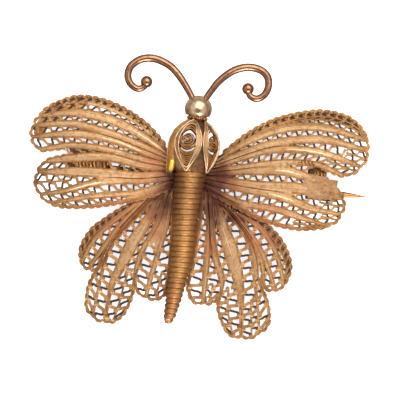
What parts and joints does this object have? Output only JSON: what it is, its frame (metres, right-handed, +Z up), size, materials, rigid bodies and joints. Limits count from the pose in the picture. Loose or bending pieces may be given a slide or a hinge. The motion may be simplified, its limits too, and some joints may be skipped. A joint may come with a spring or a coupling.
{
  "type": "butterfly brooch",
  "caption": "Gilt filigree butterfly brooch with pierced net wings, a leaf-cage thorax, a wound abdomen, curled antennae and a hinged pin.",
  "frame": {"origin": "middle of the outline in plan, on the surface that the brooch lies on", "axes": "+Y from the tail to the head, +Z up from the brooch's back to its front, +X to the right as seen from the front"},
  "size_m": [0.0544, 0.0436, 0.0084],
  "materials": {
    "satin_gilt": "satin gilt wire with brown patina",
    "polished_gilt": "polished gilt",
    "pin_gilt": "worn polished gilt"
  },
  "bodies": {
    "frame": {"forewing_right": "satin_gilt", "forewing_left": "satin_gilt", "hindwing_right": "satin_gilt", "hindwing_left": "satin_gilt", "thorax": "satin_gilt", "abdomen": "satin_gilt", "head": "polished_gilt", "antenna_left": "polished_gilt", "antenna_right": "polished_gilt", "hinge": "satin_gilt", "catch": "satin_gilt"},
    "pin": {"pin_stem": "pin_gilt"}
  },
  "joints": [
    {"name": "pin_hinge", "type": "hinge", "parent": "frame", "child": "pin", "pos_m": [-0.01833, 0.00286, 0.0013], "axis": [0, 0.9397, -0.342], "range_deg": [0, 75]}
  ]
}
